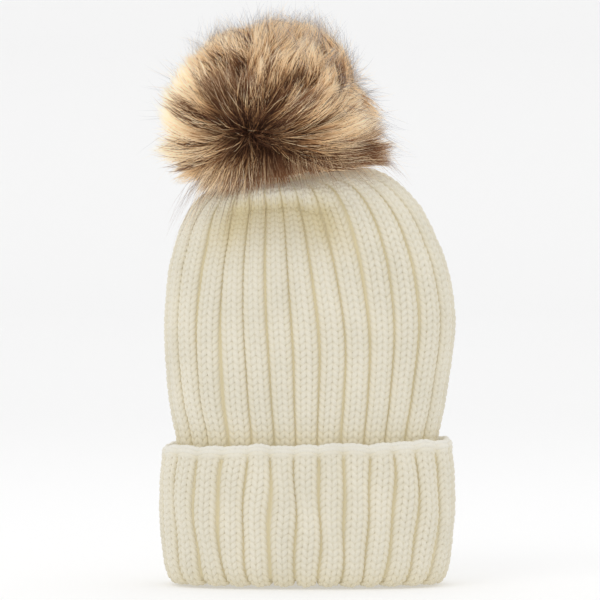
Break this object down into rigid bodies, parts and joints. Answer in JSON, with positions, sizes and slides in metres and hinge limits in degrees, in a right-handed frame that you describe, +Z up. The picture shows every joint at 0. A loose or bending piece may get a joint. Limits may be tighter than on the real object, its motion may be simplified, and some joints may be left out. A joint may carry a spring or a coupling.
{
  "type": "pom pom beanie",
  "caption": "Chunky rib-knit beanie with a turned-up cuff and a large fur pom that unclips from a press stud.",
  "frame": {"origin": "centre of the head opening, level with the fold of the cuff that the hat stands on", "axes": "+Z up through the crown, -Y the front, +X the wearer-facing viewer's right as seen from the front"},
  "size_m": [0.189, 0.1373, 0.3498],
  "materials": {
    "cream_knit": "matt acrylic rib knit",
    "cream_yarn": "matt twisted yarn",
    "label_satin": "woven satin, blank",
    "snap_nickel": "nickel-plated brass",
    "spring_steel": "drawn wire",
    "cream_felt": "pressed felt",
    "brown_fur": "long-pile faux fur, dark roots, tan lengths, pale and grey-black tips",
    "white_stuffing": "polyester fibre fill",
    "brown_thread": "polyester thread"
  },
  "bodies": {
    "hat": {"crown_knit": "cream_knit", "turned_cuff": "cream_knit", "gather_yarn": "cream_yarn", "back_seam": "cream_yarn", "care_label": "label_satin", "snap_cap": "snap_nickel", "snap_washer": "cream_felt", "snap_stud": "snap_nickel"},
    "spring": {"socket_spring": "spring_steel"},
    "pom": {"snap_socket": "snap_nickel", "socket_cap": "snap_nickel", "pom_base_disc": "cream_felt", "pom_fur": "brown_fur", "pom_fill": "white_stuffing", "pom_drawstring": "brown_thread"}
  },
  "joints": [
    {"name": "pom_pull_off", "type": "slide", "parent": "hat", "child": "spring", "axis": [-0.1564, -0.1736, 0.9723], "range_m": [0, 0.05]},
    {"name": "pom_turn", "type": "hinge", "parent": "spring", "child": "pom", "pos_m": [-0.012, -0.012, 0.256], "axis": [-0.1564, -0.1736, 0.9723], "continuous": true}
  ]
}
